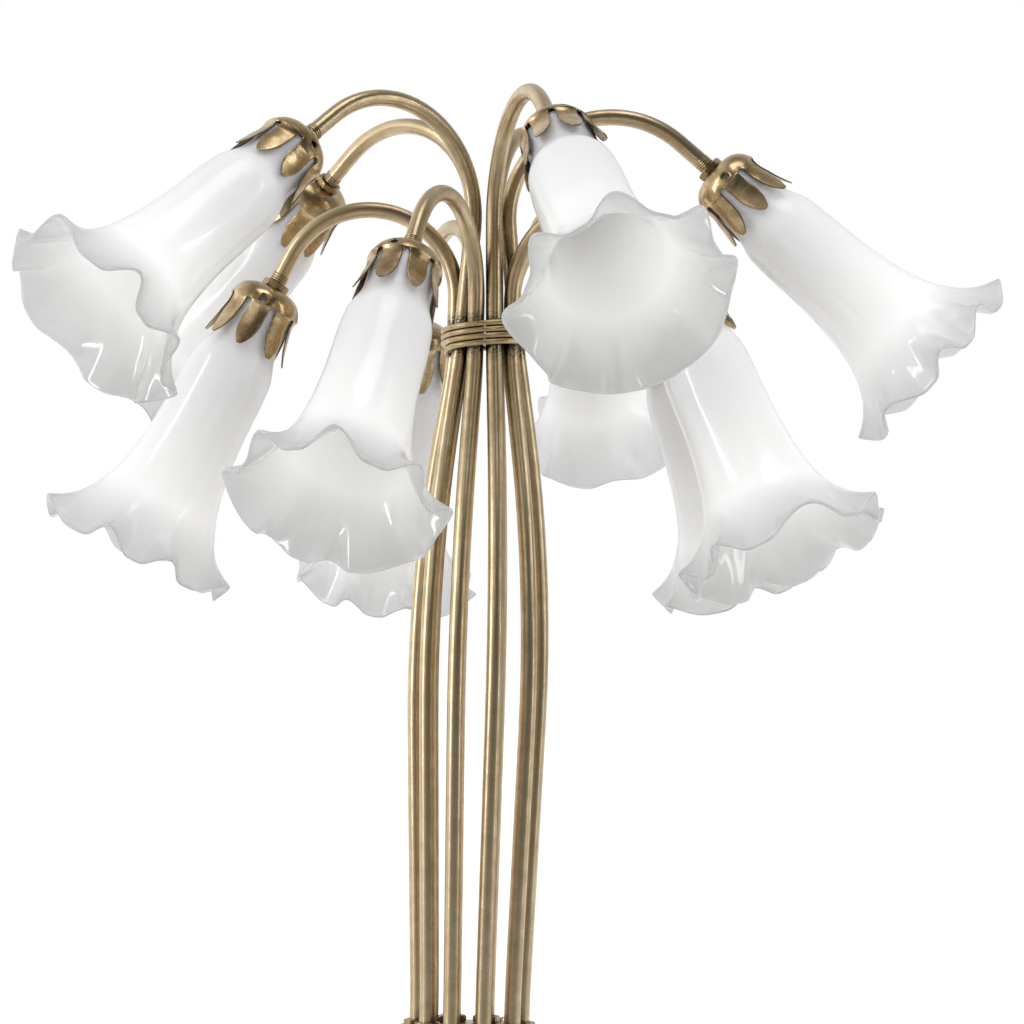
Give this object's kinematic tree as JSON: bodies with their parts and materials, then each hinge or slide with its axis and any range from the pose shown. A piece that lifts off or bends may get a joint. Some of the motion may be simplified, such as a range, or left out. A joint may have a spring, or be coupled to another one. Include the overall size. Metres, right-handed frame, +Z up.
{
  "type": "lily accent lamp",
  "caption": "Table lamp of bent brass stems bound by a wire tie above a weighted foot; each stem ends in a sepal cap with a ruffled bell shade of opal glass.",
  "frame": {"origin": "middle of the felt foot, on the surface that the lamp stands on", "axes": "+Z up along the lamp's axis; +X towards tall stem 01; the cord inlet faces +Y"},
  "size_m": [0.5592, 0.5819, 0.5839],
  "materials": {
    "antique_brass": "satin brushed, patinated",
    "dark_brass": "dark patina with rubbed edges",
    "opal_glass": "etched outside, fire polished inside, clear rim",
    "bulb_glass": "clear blown glass with a metal screw cap",
    "socket_porcelain": "glazed",
    "zinc_steel": "zinc plated",
    "cast_iron": "raw sand cast",
    "felt": "pressed wool felt",
    "black_nylon": "moulded"
  },
  "bodies": {
    "stand": {"stem_01": "antique_brass", "stem_02": "antique_brass", "stem_03": "antique_brass", "stem_04": "antique_brass", "stem_05": "antique_brass", "stem_06": "antique_brass", "stem_07": "antique_brass", "stem_08": "antique_brass", "stem_09": "antique_brass", "stem_10": "antique_brass", "tie_wire": "dark_brass", "head_nuts": "dark_brass", "foot_nuts": "dark_brass", "base_shell": "antique_brass", "stem_plate": "zinc_steel", "base_weight": "cast_iron", "weight_bolt": "zinc_steel", "felt_pad": "felt", "cord_bushing": "black_nylon"},
    "head_01": {"sepal_cap_01": "antique_brass", "glass_shade_01": "opal_glass", "socket_01": "socket_porcelain"},
    "bulb_01": {"bulb_01": "bulb_glass"},
    "head_02": {"sepal_cap_02": "antique_brass", "glass_shade_02": "opal_glass", "socket_02": "socket_porcelain"},
    "bulb_02": {"bulb_02": "bulb_glass"},
    "head_03": {"sepal_cap_03": "antique_brass", "glass_shade_03": "opal_glass", "socket_03": "socket_porcelain"},
    "bulb_03": {"bulb_03": "bulb_glass"},
    "head_04": {"sepal_cap_04": "antique_brass", "glass_shade_04": "opal_glass", "socket_04": "socket_porcelain"},
    "bulb_04": {"bulb_04": "bulb_glass"},
    "head_05": {"sepal_cap_05": "antique_brass", "glass_shade_05": "opal_glass", "socket_05": "socket_porcelain"},
    "bulb_05": {"bulb_05": "bulb_glass"},
    "head_06": {"sepal_cap_06": "antique_brass", "glass_shade_06": "opal_glass", "socket_06": "socket_porcelain"},
    "bulb_06": {"bulb_06": "bulb_glass"},
    "head_07": {"sepal_cap_07": "antique_brass", "glass_shade_07": "opal_glass", "socket_07": "socket_porcelain"},
    "bulb_07": {"bulb_07": "bulb_glass"},
    "head_08": {"sepal_cap_08": "antique_brass", "glass_shade_08": "opal_glass", "socket_08": "socket_porcelain"},
    "bulb_08": {"bulb_08": "bulb_glass"},
    "head_09": {"sepal_cap_09": "antique_brass", "glass_shade_09": "opal_glass", "socket_09": "socket_porcelain"},
    "bulb_09": {"bulb_09": "bulb_glass"},
    "head_10": {"sepal_cap_10": "antique_brass", "glass_shade_10": "opal_glass", "socket_10": "socket_porcelain"},
    "bulb_10": {"bulb_10": "bulb_glass"}
  },
  "joints": [
    {"name": "head_turn_01", "type": "hinge", "parent": "stand", "child": "head_01", "pos_m": [0.12965, -0.0034, 0.54919], "axis": [0.7647, -0.02, -0.6441], "range_deg": [-90, 90]},
    {"name": "bulb_unscrew_01", "type": "slide", "parent": "head_01", "child": "bulb_01", "axis": [0.7647, -0.02, -0.6441], "range_m": [0, 0.012]},
    {"name": "head_turn_02", "type": "hinge", "parent": "stand", "child": "head_02", "pos_m": [0.10271, 0.07033, 0.47426], "axis": [0.3578, 0.245, -0.9011], "range_deg": [-90, 90]},
    {"name": "bulb_unscrew_02", "type": "slide", "parent": "head_02", "child": "bulb_02", "axis": [0.3578, 0.245, -0.9011], "range_m": [0, 0.012]},
    {"name": "head_turn_03", "type": "hinge", "parent": "stand", "child": "head_03", "pos_m": [0.0424, 0.126, 0.54204], "axis": [0.2175, 0.6464, -0.7314], "range_deg": [-90, 90]},
    {"name": "bulb_unscrew_03", "type": "slide", "parent": "head_03", "child": "bulb_03", "axis": [0.2175, 0.6464, -0.7314], "range_m": [0, 0.012]},
    {"name": "head_turn_04", "type": "hinge", "parent": "stand", "child": "head_04", "pos_m": [-0.04203, 0.11738, 0.4709], "axis": [-0.1274, 0.3557, -0.9259], "range_deg": [-90, 90]},
    {"name": "bulb_unscrew_04", "type": "slide", "parent": "head_04", "child": "bulb_04", "axis": [-0.1274, 0.3557, -0.9259], "range_m": [0, 0.012]},
    {"name": "head_turn_05", "type": "hinge", "parent": "stand", "child": "head_05", "pos_m": [-0.10018, 0.08229, 0.54929], "axis": [-0.5919, 0.4862, -0.6428], "range_deg": [-90, 90]},
    {"name": "bulb_unscrew_05", "type": "slide", "parent": "head_05", "child": "bulb_05", "axis": [-0.5919, 0.4862, -0.6428], "range_m": [0, 0.012]},
    {"name": "head_turn_06", "type": "hinge", "parent": "stand", "child": "head_06", "pos_m": [-0.12445, -0.00065, 0.47465], "axis": [-0.4399, -0.0023, -0.898], "range_deg": [-90, 90]},
    {"name": "bulb_unscrew_06", "type": "slide", "parent": "head_06", "child": "bulb_06", "axis": [-0.4399, -0.0023, -0.898], "range_m": [0, 0.012]},
    {"name": "head_turn_07", "type": "hinge", "parent": "stand", "child": "head_07", "pos_m": [-0.10307, -0.0788, 0.54909], "axis": [-0.6068, -0.4639, -0.6455], "range_deg": [-90, 90]},
    {"name": "bulb_unscrew_07", "type": "slide", "parent": "head_07", "child": "bulb_07", "axis": [-0.6068, -0.4639, -0.6455], "range_m": [0, 0.012]},
    {"name": "head_turn_08", "type": "hinge", "parent": "stand", "child": "head_08", "pos_m": [-0.0418, -0.1161, 0.48138], "axis": [-0.1855, -0.5152, -0.8368], "range_deg": [-90, 90]},
    {"name": "bulb_unscrew_08", "type": "slide", "parent": "head_08", "child": "bulb_08", "axis": [-0.1855, -0.5152, -0.8368], "range_m": [0, 0.012]},
    {"name": "head_turn_09", "type": "hinge", "parent": "stand", "child": "head_09", "pos_m": [0.03496, -0.12439, 0.55009], "axis": [0.2097, -0.746, -0.632], "range_deg": [-90, 90]},
    {"name": "bulb_unscrew_09", "type": "slide", "parent": "head_09", "child": "bulb_09", "axis": [0.2097, -0.746, -0.632], "range_m": [0, 0.012]},
    {"name": "head_turn_10", "type": "hinge", "parent": "stand", "child": "head_10", "pos_m": [0.10224, -0.0708, 0.47551], "axis": [0.3732, -0.2584, -0.891], "range_deg": [-90, 90]},
    {"name": "bulb_unscrew_10", "type": "slide", "parent": "head_10", "child": "bulb_10", "axis": [0.3732, -0.2584, -0.891], "range_m": [0, 0.012]}
  ]
}
